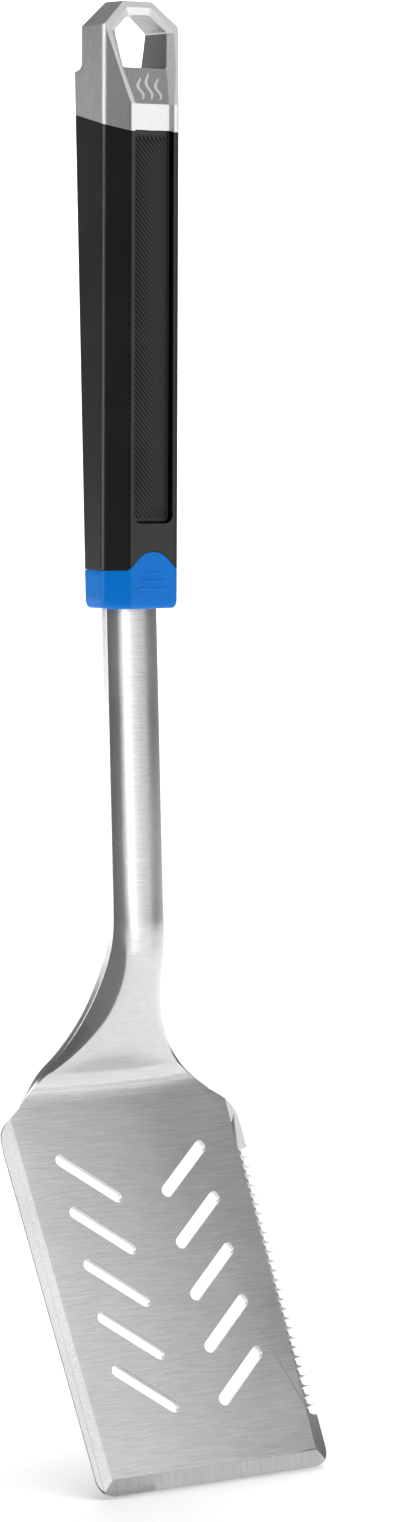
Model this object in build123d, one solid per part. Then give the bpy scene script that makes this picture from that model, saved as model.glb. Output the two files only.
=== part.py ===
"""Grill spatula: one formed steel sheet (blade, neck, shaft, tang) in a moulded handle with a cast eye.

Millimetres. X is lateral, -Y is the front (food side), +Z is up. The origin is the centre of the
hanging eye in the end cap, and the blade hangs below it.
"""
import math
import os

from build123d import *

os.makedirs("parts", exist_ok=True)

# ---- handle envelope ----
HANDLE_W = 14.6            # half width over the side walls
FRONT_W = 9.33             # half width of the flat front
FRONT_Y = -15.37           # front plane of the handle
SIDE_Y = -7.6              # where the front facets meet the side walls
BACK_W = 10.4              # half width of the flat back
BACK_STEP = 3.0            # depth of the back facets
REAR_Y_JOINT = 7.9         # rear end of the side wall at the cap joint
REAR_TAPER = 0.0402        # mm of depth lost per mm downwards
EDGE_R = 1.6               # rounding of the long edges

# ---- levels ----
CAP_JOINT = [(FRONT_Y, -28.8), (SIDE_Y, -26.6), (REAR_Y_JOINT, -23.3)]   # (y, z) along the joint
COLLAR_TOP = -168.3
COLLAR_BOTTOM = -180.6
ARCH_RISE = 6.0            # the collar's arch on the front
ARCH_HALF = 10.8
COLLAR_ROUND = 1.5

# ---- end cap ----
RING_TOP = 12.86
RING_TOP_W = 5.5
RING_SIDE_Z = 4.92
EYE = [(4.0, 8.46), (10.19, 3.27), (8.47, -8.46)]      # (half width, z) of the hanging eye
EYE_R = 1.1
KINK_Z = -20.0             # above this level the front leans back
RING_TOP_Y = -5.6          # front plane at the top of the ring
EYE_BACK_Y = 4.45          # back plane of the eye plate
STEP_TOP_Z, STEP_BOTTOM_Z = -6.6, -9.3
RIM = 1.9
PANEL_FLOOR = [(-13.77, -30.0), (-13.77, KINK_Z), (-9.43, -8.46), (-7.5, 3.27), (-5.4, 10.9)]

# ---- grip insert ----
INSERT_W = 7.5
INSERT_SINK = 1.6          # its face below the handle front
INSERT_T = 2.0
INSERT_BOTTOM = -153.3
INSERT_CORNER_R = 2.6

# ---- sheet ----
SHEET = 2.0
SHAFT_W = 9.9
SHAFT_Y = -3.7             # shoulder of the shaft where it leaves the collar
SHAFT_LEAN = 2.6           # degrees, forwards going down
CROWN = 1.5
FLANGE = 3.6
SHAFT_END_Z = -283.0
NECK_LEAN = 20.5           # degrees, backwards going down
NECK_TOP_R, NECK_BOTTOM_R = 26.0, 14.0
BLADE_TILT = 26.7          # degrees, forwards going down
ROW0_Y, ROW0_Z = -7.16, -363.98     # blade face at the first row of slots
HEAD_RUN, HEAD_W = 7.5, 37.2        # flat run below the lower bend, and its half width
BLADE_END = 103.4
BLADE_CORNER_R = 6.0
BLADE_W_TOP, BLADE_W_BOTTOM = 47.4, 45.4
BEVEL_W = 5.0
EDGE_T = 0.35
SLOT_X, SLOT_PITCH, SLOT_LEN, SLOT_W, SLOT_ANGLE = 18.8, 17.7, 26.4, 4.0, 38.0
SLOT_ROWS = 5
BITE_R, BITE_PITCH, BITE_FIRST, BITE_COUNT, BITE_TILT = 1.6, 3.28, -3.6, 28, 40.0

# ---- tang and fixings ----
TANG_W = 7.5
TANG_FRONT, TANG_BACK = -4.5, 1.4
TANG_TOP = -64.0
GAP = 0.12
SPIGOT_BOTTOM = -60.0
SPIGOT_BACK = 3.0
BLOCK_TOP, BLOCK_BOTTOM = -66.0, -150.0
TANG_SCREW_Z = (-84.0, -134.0)
CAP_SCREW_Z = -46.0
SCREW_R, HEAD_R, HEAD_H, WASHER_R, WASHER_T = 1.75, 3.0, 2.0, 3.6, 0.8
SEAT_Y = -8.6              # bottom of the screw counterbores
SCREW_TIP_Y = 0.6

BIG = 60.0


def face_xz(points, y=0.0):
    """Face in the plane y = const through (x, z) points."""
    return make_face(Polyline(*[(x, y, z) for x, z in points], close=True))


def slab_xz(points, y0, y1):
    return extrude(face_xz(points, y0), amount=y1 - y0, dir=(0, 1, 0))


def slab_yz(points, x0=-BIG, x1=BIG):
    face = make_face(Polyline(*[(x0, y, z) for y, z in points], close=True))
    return extrude(face, amount=x1 - x0, dir=(1, 0, 0))


def block(x0, x1, y0, y1, z0, z1):
    return Pos((x0 + x1) / 2, (y0 + y1) / 2, (z0 + z1) / 2) * Box(x1 - x0, y1 - y0, z1 - z0)


def rod_y(radius, y0, y1, z, x=0.0):
    return Pos(x, (y0 + y1) / 2, z) * Rot(90, 0, 0) * Cylinder(radius, y1 - y0)


def mirrored(points):
    """Closed outline from its right half, listed top to bottom."""
    return points + [(-x, z) for x, z in reversed(points)]


# ---------------------------------------------------------------- handle envelope
def rear_y(z):
    return REAR_Y_JOINT + REAR_TAPER * (z + 28.8)


def handle_section(z):
    rear = rear_y(z)
    half = [(FRONT_W, FRONT_Y), (HANDLE_W, SIDE_Y), (HANDLE_W, rear), (BACK_W, rear + BACK_STEP)]
    outline = half + [(-x, y) for x, y in reversed(half)]
    return make_face(Polyline(*[(x, y, z) for x, y in outline], close=True))


def handle_body():
    body = loft([handle_section(COLLAR_BOTTOM), handle_section(RING_TOP + 4)], ruled=True)
    long_edges = body.edges().filter_by(lambda e: e.length > 100)
    return fillet(long_edges, EDGE_R)


def above_cap_joint(shift=0.0):
    (y0, z0), (y1, z1), (y2, z2) = [(y, z + shift) for y, z in CAP_JOINT]
    low_slope = (z1 - z0) / (y1 - y0)
    high_slope = (z2 - z1) / (y2 - y1)
    front = (-BIG, z0 - low_slope * (y0 + BIG))
    back = (BIG, z2 + high_slope * (BIG - y2))
    return slab_yz([(-BIG, BIG), front, (y0, z0), (y1, z1), (y2, z2), back, (BIG, BIG)])


def below_collar_joint(shift=0.0):
    steps = 24
    arch = []
    for i in range(steps + 1):
        x = ARCH_HALF * (1 - 2 * i / steps)
        arch.append((x, COLLAR_TOP + shift + ARCH_RISE * 0.5 * (1 + math.cos(math.pi * x / ARCH_HALF))))
    level = COLLAR_TOP + shift
    front = slab_xz([(BIG, level)] + arch + [(-BIG, level), (-BIG, -BIG * 5), (BIG, -BIG * 5)], -BIG, SIDE_Y)
    back = block(-BIG, BIG, SIDE_Y, BIG, -BIG * 5, level)
    return front + back


def front_of_lean():
    """Everything in front of the leaning front plane of the cap."""
    slope = (RING_TOP_Y - FRONT_Y) / (RING_TOP - KINK_Z)
    top = RING_TOP + 10
    return slab_yz([(FRONT_Y, KINK_Z), (RING_TOP_Y + slope * 10, top), (-BIG, top), (-BIG, KINK_Z)])


def end_cap():
    cap = handle_body() & above_cap_joint(GAP / 2)
    ring = mirrored([(RING_TOP_W, RING_TOP), (HANDLE_W + 1e-3, RING_SIDE_Z), (HANDLE_W + 1e-3, -BIG)])
    cap = cap & slab_xz(ring, -BIG, BIG)
    cap = cap - front_of_lean()
    step = Polyline((0, EYE_BACK_Y, BIG), (0, EYE_BACK_Y, STEP_TOP_Z))
    curve = ThreePointArc((0, EYE_BACK_Y, STEP_TOP_Z), (0, EYE_BACK_Y + 0.9, STEP_TOP_Z - 1.9),
                          (0, EYE_BACK_Y + 3.9, STEP_BOTTOM_Z))
    out = Polyline((0, EYE_BACK_Y + 3.9, STEP_BOTTOM_Z), (0, BIG, STEP_BOTTOM_Z), (0, BIG, BIG),
                   (0, EYE_BACK_Y, BIG))
    behind = extrude(make_face([step, curve, out]), amount=BIG, dir=(1, 0, 0), both=True)
    cap = cap - behind
    panel = mirrored([(4.9, 10.9), (12.3, 3.2), (INSERT_W, KINK_Z), (INSERT_W, -BIG)])
    floor = slab_yz([(-BIG, -30.0)] + PANEL_FLOOR + [(-BIG, 10.9)])
    cap = cap - (slab_xz(panel, -BIG, 0) & floor)
    eye = slab_xz(mirrored(EYE), -BIG, BIG)
    cap = cap - fillet(eye.edges().filter_by(Axis.Y), EYE_R)
    spigot = block(-TANG_W, TANG_W, TANG_FRONT, SPIGOT_BACK, SPIGOT_BOTTOM, -22.0)
    cap = cap + spigot
    return cap - rod_y(SCREW_R + GAP / 2, TANG_FRONT - 1, SCREW_TIP_Y + 0.3, CAP_SCREW_Z)


def grip_insert():
    face_y = FRONT_Y + INSERT_SINK
    plate = block(-INSERT_W + GAP, INSERT_W - GAP, face_y, face_y + INSERT_T, INSERT_BOTTOM + GAP, 0)
    corners = plate.edges().filter_by(Axis.Y).group_by(Axis.Z)[0]
    plate = fillet(corners, INSERT_CORNER_R - GAP)
    front = plate.faces().sort_by(Axis.Y)[0].edges().group_by(Axis.Z)
    plate = chamfer([e for group in front[:-1] for e in group], 0.5, 0.7)
    return plate - above_cap_joint(-GAP / 2)


def handle_sleeve():
    sleeve = handle_body() - above_cap_joint(-GAP / 2) - below_collar_joint(GAP / 2)
    floor_y = FRONT_Y + INSERT_SINK + INSERT_T + GAP
    recess = block(-INSERT_W, INSERT_W, -BIG, floor_y, INSERT_BOTTOM, 0)
    recess = fillet(recess.edges().filter_by(Axis.Y).group_by(Axis.Z)[0], INSERT_CORNER_R)
    sleeve = sleeve - recess
    sleeve = sleeve - block(-TANG_W - GAP, TANG_W + GAP, TANG_FRONT - GAP, TANG_BACK + GAP, -BIG * 4, TANG_TOP + 1)
    sleeve = sleeve - block(-TANG_W - GAP, TANG_W + GAP, TANG_FRONT - GAP, SPIGOT_BACK + GAP, SPIGOT_BOTTOM - 1, 0)
    for z in (CAP_SCREW_Z,) + TANG_SCREW_Z:
        sleeve = sleeve - rod_y(SCREW_R + GAP, floor_y - 1, TANG_FRONT + 1, z)
        sleeve = sleeve - rod_y(WASHER_R + GAP, floor_y - 1, SEAT_Y, z)
    return sleeve


def collar():
    ring = handle_body() & below_collar_joint(-GAP / 2)
    bottom = ring.faces().sort_by(Axis.Z)[0].edges()
    ring = fillet(bottom, COLLAR_ROUND)
    return ring - block(-TANG_W - GAP, TANG_W + GAP, TANG_FRONT - GAP, TANG_BACK + GAP, -BIG * 4, 0)


# ---------------------------------------------------------------- formed sheet
def path_points():
    """Bend by bend: the front face of the sheet at x = 0, as (y, z) corners of straight runs."""
    tilt, lean, neck = (math.tan(math.radians(a)) for a in (BLADE_TILT, SHAFT_LEAN, NECK_LEAN))
    top = (SHAFT_Y, COLLAR_BOTTOM - 0.5)
    drop = COLLAR_BOTTOM - (SHAFT_END_Z - 6.0)
    bend = (SHAFT_Y - lean * drop, SHAFT_END_Z - 6.0)
    # neck line from the bend meets the blade line
    z = (ROW0_Y - bend[0] - tilt * ROW0_Z - neck * bend[1]) / (-tilt - neck)
    low = (bend[0] + neck * (bend[1] - z), z)
    return top, bend, low


def on_blade(x, along, back=0.0):
    t = math.radians(BLADE_TILT)
    return (x, ROW0_Y - along * math.sin(t) + back * math.cos(t),
            ROW0_Z - along * math.cos(t) - back * math.sin(t))


BLADE_PLANE = Plane(origin=(0, ROW0_Y, ROW0_Z), x_dir=(1, 0, 0),
                    z_dir=(0, math.cos(math.radians(BLADE_TILT)), -math.sin(math.radians(BLADE_TILT))))


def station(point, direction, half, crown, flange, grow=0.0):
    """Section across the sheet: a crowned web with side flanges (grow > 0 gives the hollow behind it)."""
    y, z = point
    dy, dz = direction
    back = (-dz, dy) if dz < 0 else (dz, -dy)
    w = half - grow

    def at(x, depth):
        return (x, y + back[0] * depth, z + back[1] * depth)

    deep = flange + (3.0 if grow else 0.0)
    arc = ThreePointArc(at(-w, grow), at(0, grow - crown), at(w, grow))
    rest = Polyline(at(w, grow), at(w, deep), at(-w, deep), at(-w, grow))
    return make_face([arc, rest])


def neck_stations():
    """(point, direction, half width, crown, flange) from the collar to the head of the blade."""
    top, bend, low = path_points()
    lean, neck, tilt = (math.radians(a) for a in (SHAFT_LEAN, -NECK_LEAN, BLADE_TILT))

    def along(start, angle, distance):
        return (start[0] - math.sin(angle) * distance, start[1] - math.cos(angle) * distance)

    def direction(angle):
        return (-math.sin(angle), -math.cos(angle))

    rows = [(top, lean, SHAFT_W, CROWN, FLANGE), (along(bend, lean, -9.0), lean, SHAFT_W, CROWN, FLANGE)]
    for turn, width in ((0.35, 10.3), (0.65, 10.8)):
        angle = lean + (neck - lean) * turn
        rows.append((along((bend[0] + 0.9, bend[1]), angle, (turn - 0.5) * 16), angle, width, CROWN, FLANGE))
    run = math.dist(bend, low)
    for part, width, crown, flange in ((0.26, 12.0, 1.4, 3.4), (0.42, 13.6, 1.2, 3.1), (0.58, 16.2, 0.9, 2.7),
                                       (0.74, 20.2, 0.6, SHEET + 0.3), (0.90, 25.4, 0.4, SHEET + 0.1)):
        rows.append((along(bend, neck, run * part), neck, width, crown, flange))
    middle = neck + (tilt - neck) * 0.5
    rows.append(((low[0] - 1.0, low[1] + 0.3), middle, 29.4, 0.2, SHEET + 0.05))
    rows.append((along(low, tilt, HEAD_RUN), tilt, HEAD_W, 0.02, SHEET))
    return [(p, direction(a), w, c, f) for p, a, w, c, f in rows]


def blade_outline():
    """Right half of the blade, head to edge, as (x, along)."""
    _, _, low = path_points()
    head = HEAD_RUN - math.dist(low, (ROW0_Y, ROW0_Z))
    shoulder = [(HEAD_W, head), (39.4, -25.0), (44.4, -21.2), (46.4, -18.6), (47.2, -15.8), (BLADE_W_TOP, -12.0)]
    corner = []
    for step in range(7):
        turn = math.radians(15 * step)
        corner.append((BLADE_W_BOTTOM - BLADE_CORNER_R * (1 - math.cos(turn)),
                       BLADE_END - BLADE_CORNER_R * (1 - math.sin(turn))))
    return shoulder + corner + [(0.0, BLADE_END)]


def on_plane(points, z=0.0):
    """Points (x, along) in the blade's own plane, whose y runs down the blade and z to the back."""
    return [(x, a, z) for x, a in points]


def ground_edge(start, end):
    """Wedge that grinds the front face down to a thin edge outside the line start-end."""
    (x0, a0), (x1, a1) = start, end
    length = math.hypot(x1 - x0, a1 - a0)
    ux, ua = (x1 - x0) / length, (a1 - a0) / length
    nx, na = -ua, ux                       # outwards
    extra = 12.0
    corners = []
    for out, depth in ((0.0, 0.0), (3 * BEVEL_W, 3 * (SHEET - EDGE_T)), (3 * BEVEL_W, -5.0), (0.0, -5.0)):
        corners.append((x0 - ux * extra + nx * out, a0 - ua * extra + na * out, depth))
    face = make_face(Polyline(*corners, close=True))
    return extrude(face, amount=length + 2 * extra, dir=(ux, ua, 0))


def slots():
    cutters = []
    for row in range(SLOT_ROWS):
        for side in (-1, 1):
            centre = Pos(side * SLOT_X, row * SLOT_PITCH, SHEET / 2)
            flat = extrude(SlotOverall(SLOT_LEN, SLOT_W), amount=SHEET, both=True)
            cutters.append(centre * Rot(0, 0, -side * SLOT_ANGLE) * flat)
    return cutters


def bites():
    """Scalloped teeth along the right ground edge."""
    cutters = []
    for i in range(BITE_COUNT):
        along = BITE_FIRST + i * BITE_PITCH
        edge = BLADE_W_TOP + (BLADE_W_BOTTOM - BLADE_W_TOP) * (along + 12.0) / (BLADE_END + 12.0)
        tool = Pos(edge - BEVEL_W / 2, along, 0) * Rot(0, 90 - BITE_TILT, 0) * Cylinder(BITE_R, 14.0)
        cutters.append(tool)
    return cutters


def blade_plate():
    right = blade_outline()
    outline = right + [(-x, a) for x, a in reversed(right[:-1])]
    plate = extrude(make_face(Polyline(*on_plane(outline), close=True)), amount=SHEET, dir=(0, 0, 1))
    inner_top, inner_low = BLADE_W_TOP - BEVEL_W, BLADE_W_BOTTOM - BEVEL_W
    bottom = BLADE_END - BEVEL_W
    plate = plate - ground_edge((inner_low, bottom), (inner_top, -12.0))
    plate = plate - ground_edge((-inner_top, -12.0), (-inner_low, bottom))
    plate = plate - ground_edge((-inner_low, bottom), (inner_low, bottom))
    for cutter in slots() + bites():
        plate = plate - cutter
    return BLADE_PLANE * plate


def tang():
    web = block(-TANG_W, TANG_W, TANG_FRONT, TANG_FRONT + SHEET, COLLAR_BOTTOM - 4, TANG_TOP)
    sides = [block(s * TANG_W - (SHEET if s > 0 else 0), s * TANG_W + (0 if s > 0 else SHEET),
                   TANG_FRONT, TANG_BACK, COLLAR_BOTTOM - 4, TANG_TOP) for s in (-1, 1)]
    part = web + sides
    for z in TANG_SCREW_Z:
        part = part - rod_y(SCREW_R + GAP, TANG_FRONT - 1, TANG_FRONT + SHEET + 1, z)
    return part


def blade_and_shaft():
    rows = neck_stations()
    sheet = loft([station(*row) for row in rows], ruled=True)
    hollow_rows = rows[:-1]
    sheet = sheet - loft([station(*row, grow=SHEET) for row in hollow_rows], ruled=True)
    return sheet + blade_plate() + tang()


# ---------------------------------------------------------------- hidden fixings
def tang_block():
    inner = TANG_W - SHEET - GAP
    part = block(-inner, inner, TANG_FRONT + SHEET + GAP, TANG_BACK, BLOCK_BOTTOM, BLOCK_TOP)
    for z in TANG_SCREW_Z:
        part = part - rod_y(SCREW_R, TANG_FRONT, BIG, z)
    return part


def screw(z):
    head = rod_y(HEAD_R, SEAT_Y - WASHER_T - HEAD_H, SEAT_Y - WASHER_T, z)
    head = fillet(head.edges().sort_by(Axis.Y)[0], 0.9)
    drive = Pos(0, SEAT_Y - WASHER_T - HEAD_H, z) * Box(0.7, 1.4, 3.4)
    cross = Pos(0, SEAT_Y - WASHER_T - HEAD_H, z) * Box(3.4, 1.4, 0.7)
    return head + rod_y(SCREW_R - 0.01, SEAT_Y - WASHER_T, SCREW_TIP_Y, z) - drive - cross


def washer(z):
    return rod_y(WASHER_R, SEAT_Y - WASHER_T, SEAT_Y, z) - rod_y(SCREW_R + 0.15, SEAT_Y - 2, SEAT_Y + 1, z)


def save(name, shapes):
    shape = shapes if not isinstance(shapes, list) else Compound(children=shapes)
    export_step(shape, f"parts/{name}.step")
    print(name, round(shape.volume, 1), shape.bounding_box())


save("end_cap", end_cap())
save("handle_sleeve", handle_sleeve())
save("grip_insert", grip_insert())
save("collar", collar())
save("blade_and_shaft", blade_and_shaft())
save("tang_block", tang_block())
save("tang_screws", [screw(z) for z in TANG_SCREW_Z])
save("tang_washers", [washer(z) for z in TANG_SCREW_Z])
save("cap_screw", screw(CAP_SCREW_Z))
save("cap_washer", washer(CAP_SCREW_Z))
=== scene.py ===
"""Grill spatula: formed steel sheet in a faceted handle with a cast hanging eye.

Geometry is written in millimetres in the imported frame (X lateral, -Y front, +Z up) and scaled to metres.
"""

import math

import bmesh
import bpy
from mathutils import Matrix, Vector


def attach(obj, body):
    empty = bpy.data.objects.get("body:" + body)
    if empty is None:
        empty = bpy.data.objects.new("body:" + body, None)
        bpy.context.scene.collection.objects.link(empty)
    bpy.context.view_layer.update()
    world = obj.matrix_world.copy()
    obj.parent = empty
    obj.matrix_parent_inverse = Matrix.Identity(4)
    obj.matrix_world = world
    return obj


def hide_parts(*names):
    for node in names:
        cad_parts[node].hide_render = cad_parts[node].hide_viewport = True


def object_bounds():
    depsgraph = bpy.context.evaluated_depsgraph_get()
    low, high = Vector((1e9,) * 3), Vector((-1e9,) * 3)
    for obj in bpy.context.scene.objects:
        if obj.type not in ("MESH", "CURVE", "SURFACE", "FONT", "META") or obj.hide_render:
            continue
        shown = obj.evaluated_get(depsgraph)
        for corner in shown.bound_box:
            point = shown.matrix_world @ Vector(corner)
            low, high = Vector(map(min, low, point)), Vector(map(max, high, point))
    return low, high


bl_info = {
    "name": "Grill Spatula",
    "version": (1, 0, 0),
    "blender": (4, 5, 0),
    "location": "3D View > Sidebar > Spatula",
    "description": "Builds a slotted grill spatula piece by piece over its packed frame",
    "category": "Add Mesh",
}

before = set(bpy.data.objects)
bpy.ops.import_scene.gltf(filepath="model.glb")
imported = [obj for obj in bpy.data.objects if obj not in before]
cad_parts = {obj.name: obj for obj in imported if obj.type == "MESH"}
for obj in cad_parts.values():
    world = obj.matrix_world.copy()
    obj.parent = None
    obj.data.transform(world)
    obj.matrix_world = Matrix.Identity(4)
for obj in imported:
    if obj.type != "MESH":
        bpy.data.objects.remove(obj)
CAD_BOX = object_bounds()
MM = 0.001
FIT = 0.12          # clearance between pieces that slide together
BEYOND = 40.0       # well outside the handle, for cutters

# ---- handle section ----
FRONT_W, FRONT_Y = 9.33, -15.37
SIDE_W, SIDE_Y = 14.6, -7.6
BACK_W, BACK_STEP = 10.4, 3.0
REAR_Y, REAR_Z, REAR_TAPER = 7.9, -28.8, 0.0402
FRONT_R, CAP_FRONT_R, SIDE_R, REAR_R, BACK_R = 1.8, 1.0, 4.5, 1.2, 2.2
CAP_JOINT = ((FRONT_Y, -28.8), (SIDE_Y, -26.6), (REAR_Y, -23.3))
COLLAR_TOP, COLLAR_BOTTOM = -168.3, -180.6
ARCH_RISE, ARCH_HALF, ARCH_FULLNESS, ARCH_POINTS = 6.0, 10.8, 1.35, 14
FOOT_SPREAD = 0.65  # how far a shell's lower rounding runs inwards, as a share of its height
JOINT_GAP = 0.06
RIDGE_R = 0.62
RIDGES = ((3.2, -169.2), (5.0, -171.7), (6.4, -174.2))  # (half length, z) of the collar's bars

# ---- end cap ----
KINK_Z = -20.0
RING_TOP_Y, RING_TOP_Z, RING_TOP_W, RING_SIDE_Z = -5.6, 12.86, 5.5, 4.92
EYE_BACK_Y, STEP_TOP_Z, STEP_BOTTOM_Z, STEP_DEPTH = 4.45, -6.6, -9.3, 3.9
EYE, EYE_R, EYE_REACH = ((4.0, 8.46), (10.19, 3.27), (8.47, -8.46)), 1.1, 12.4
SPIGOT_BACK, SPIGOT_TOP, SPIGOT_LOW = 3.0, -22.0, -60.0
# (z, half width at the rim, half width of the floor, depth) of the recess around the eye and down the front
PANEL = ((10.9, 4.9, 4.6, 0.0), (8.5, 7.2, 4.1, 0.85), (3.2, 12.3, 10.25, 0.95), (-8.46, 10.6, 8.5, 2.2),
         (KINK_Z, 7.6, 6.75, 1.6), (-40.0, 7.6, 6.75, 1.6))
EYE_FOOT_Z, RECESS_HALF, RECESS_DEPTH = PANEL[3][0], PANEL[-1][2] - 0.3, 2.3
CAST, CAST_RIM_HIGHLIGHT, EYE_WALL_SHADE = range(3)  # cap materials in slot order: plain cast steel, a painted highlight, painted shade inside the eye
WAVES, WAVE_TURNS, WAVE_SWAY, WAVE_HALF = ((-3.4, 0.82), (0.0, 1.0), (3.4, 0.82)), 1.25, 0.75, 0.62

# ---- grip insert ----
INSERT_W, INSERT_Y, INSERT_T, INSERT_BOTTOM, INSERT_R = 7.5, -13.77, 2.0, -153.3, 2.6
POCKET_TOP = -10.0  # above the joint, so the pocket runs out of the handle's end
FIELD_W, FIELD_TOP, FIELD_BOTTOM = 6.6, -30.2, -151.4
BORDER_DEPTH, RIB_ANGLE, RIB_RAMP = 0.62, 46.5, 0.3
# (offset in pitches, rise as a share of the height) across one rib
RIB_PROFILE = ((-0.36, 0.0), (-0.2, 0.75), (-0.08, 1.0), (0.08, 1.0), (0.2, 0.75), (0.36, 0.0))

# ---- sheet ----
SHEET = 2.0
SHAFT_Y, SHAFT_LEAN, BEND_Z = -3.7, 2.6, -289.0
NECK_LEAN, BLADE_TILT = 20.5, 26.7
ROW0_Y, ROW0_Z = -7.16, -363.98
HEAD_RUN = 7.5
UPPER_BEND_R, LOWER_BEND_R = 40.0, 9.0
BLADE_W_TOP, BLADE_W_BOTTOM, BLADE_END, CORNER_R = 47.4, 45.4, 103.4, 6.0
SHOULDER_END = -12.0
BEVEL_W, EDGE_T, OVERRUN = 5.0, 0.35, 12.0
SLOT_X, SLOT_PITCH, SLOT_LEN, SLOT_W, SLOT_ANGLE, SLOT_ROWS = 18.8, 17.7, 26.4, 4.0, 38.0, 5
BITE_R, BITE_PITCH, BITE_FIRST, BITE_COUNT, BITE_TILT = 1.6, 3.28, -3.6, 28, 40.0
TEETH_MIDDLE = BITE_FIRST + BITE_PITCH * (BITE_COUNT - 1) / 2
TEETH_REACH = BITE_PITCH * BITE_COUNT / 2 + 1.0
TANG_W, TANG_FRONT, TANG_BACK, TANG_TOP = 7.5, -4.5, 1.4, -64.0

# (z, half width, fold, crown, drop, flange, edge radius) of the sheet, from the collar to the blade's head
SHEET_ROWS = (
    (-180.6, 9.9, 6.4, 0.7, 1.1, 3.2, 0.9), (-230.0, 9.9, 6.4, 0.7, 1.1, 3.2, 0.9),
    (-275.0, 9.9, 6.3, 0.7, 1.15, 3.2, 0.9), (-281.0, 10.0, 6.1, 0.7, 1.3, 3.1, 0.9),
    (-288.0, 10.3, 5.9, 0.7, 1.8, 2.9, 0.9), (-292.0, 10.7, 6.0, 0.7, 2.5, 2.8, 0.9),
    (-298.0, 11.4, 6.3, 0.75, 3.4, 2.7, 0.9), (-305.0, 12.7, 7.6, 0.8, 3.9, 2.6, 0.8),
    (-312.0, 14.8, 10.0, 0.85, 3.9, 2.4, 0.8), (-319.0, 18.0, 14.4, 0.9, 3.4, 2.3, 0.7),
    (-326.0, 22.6, 20.2, 0.85, 2.2, 2.2, 0.6), (-333.0, 29.2, 28.0, 0.5, 0.8, 2.1, 0.5),
    (-335.5, 31.8, 31.0, 0.3, 0.35, 2.05, 0.4), (-338.0, 34.7, 34.2, 0.1, 0.05, 2.0, 0.3),
    (-340.26, 37.2, 36.8, 0.0, 0.0, 2.0, 0.0),
)
SLOPE_START = 0.6   # steepness at the fold, as a share of a straight slope's
FOOT_Z = -440.0     # below it a tilted face belongs to the ground foot of the blade
SHEET_FACE, SHEET_SIDE, SHEET_FOOT_GRAIN_AND_SHADE = range(3)  # sheet materials in slot order: face, side grain, and the ground foot with real cross grain and a darker base colour that is painted shade

# ---- studio, in metres ----
MIDDLE, LOW_MIDDLE = (0, 0, -0.22), (0, -0.02, -0.41)
FLOOR_FRONT, BEND_Y, SWEEP_R, SWEEP_HALF, SWEEP_RISE = -4.0, 5.6, 1.2, 9.0, 4.5
VIEW_AZIMUTH, VIEW_PITCH, VIEW_ROLL = 36.0, 4.27, 0.23
VIEW_DISTANCE, VIEW_SHIFT, VIEW_AIM_Z, LENS, SENSOR = 1.65103, 0.02419, -0.23039, 120.8, 36.0


# ------------------------------------------------------------------ mesh helpers
def new_object(name, verts, faces, weld=0.0):
    """Object from millimetre vertices, linked to the scene."""
    mesh = bpy.data.meshes.new(name)
    mesh.from_pydata([Vector(v) * MM for v in verts], [], faces)
    bm = bmesh.new()
    bm.from_mesh(mesh)
    if weld:
        bmesh.ops.remove_doubles(bm, verts=bm.verts, dist=weld * MM)
    bmesh.ops.triangulate(bm, faces=[f for f in bm.faces if len(f.verts) > 4])
    bmesh.ops.recalc_face_normals(bm, faces=bm.faces)
    bm.to_mesh(mesh)
    bm.free()
    obj = bpy.data.objects.new(name, mesh)
    bpy.context.scene.collection.objects.link(obj)
    return obj


def loft(rings, close_ends=True):
    """Vertices and faces of a skin over closed rings with equal point counts."""
    count = len(rings[0])
    verts = [p for ring in rings for p in ring]
    faces = []
    for r in range(len(rings) - 1):
        a, b = r * count, (r + 1) * count
        for i in range(count):
            j = (i + 1) % count
            faces.append((a + i, a + j, b + j, b + i))
    if close_ends:
        faces.append(tuple(range(count))[::-1])
        faces.append(tuple(range((len(rings) - 1) * count, len(rings) * count)))
    return verts, faces


def apply_modifier(obj, modifier):
    """Applies one modifier and stops the build if Blender can't."""
    with bpy.context.temp_override(object=obj, active_object=obj, selected_objects=[obj]):
        result = bpy.ops.object.modifier_apply(modifier=modifier.name)
    if result != {"FINISHED"} or not obj.data.polygons:
        raise RuntimeError(f"{obj.name}: a modifier left no mesh")


def boolean(obj, cutter, operation="DIFFERENCE"):
    """Exact boolean, applied; the cutter is removed."""
    mod = obj.modifiers.new("cut", "BOOLEAN")
    mod.operation, mod.solver, mod.object = operation, "EXACT", cutter
    apply_modifier(obj, mod)
    mesh = cutter.data
    bpy.data.objects.remove(cutter)
    bpy.data.meshes.remove(mesh)


def prism(name, outline, place, depth0, depth1):
    """Closed prism: place(u, v, depth) maps the outline's (u, v) to a millimetre point."""
    rings = [[place(u, v, d) for u, v in outline] for d in (depth0, depth1)]
    return new_object(name, *loft(rings))


def slice_off(obj, point, normal):
    """Cuts the mesh by a plane, drops the side the normal points to and closes the cut."""
    bm = bmesh.new()
    bm.from_mesh(obj.data)
    geom = list(bm.verts) + list(bm.edges) + list(bm.faces)
    cut = bmesh.ops.bisect_plane(bm, geom=geom, plane_co=Vector(point) * MM, plane_no=normal, clear_outer=True)
    edges = [e for e in cut["geom_cut"] if isinstance(e, bmesh.types.BMEdge)]
    bmesh.ops.contextual_create(bm, geom=edges)
    bmesh.ops.recalc_face_normals(bm, faces=bm.faces)
    bm.to_mesh(obj.data)
    bm.free()


def round_edges(obj, width, segments, angle):
    """Merges flat areas, rounds the sharp edges and keeps the flats flat."""
    bm = bmesh.new()
    bm.from_mesh(obj.data)
    bmesh.ops.remove_doubles(bm, verts=bm.verts, dist=2e-6)
    bmesh.ops.dissolve_limit(bm, angle_limit=math.radians(0.4), verts=bm.verts, edges=bm.edges)
    bm.to_mesh(obj.data)
    bm.free()
    obj.data.shade_smooth()
    mod = obj.modifiers.new("round", "BEVEL")
    mod.width, mod.segments = width * MM, segments
    mod.limit_method, mod.angle_limit = "ANGLE", math.radians(angle)
    apply_modifier(obj, mod)
    keep_flat(obj)


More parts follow.
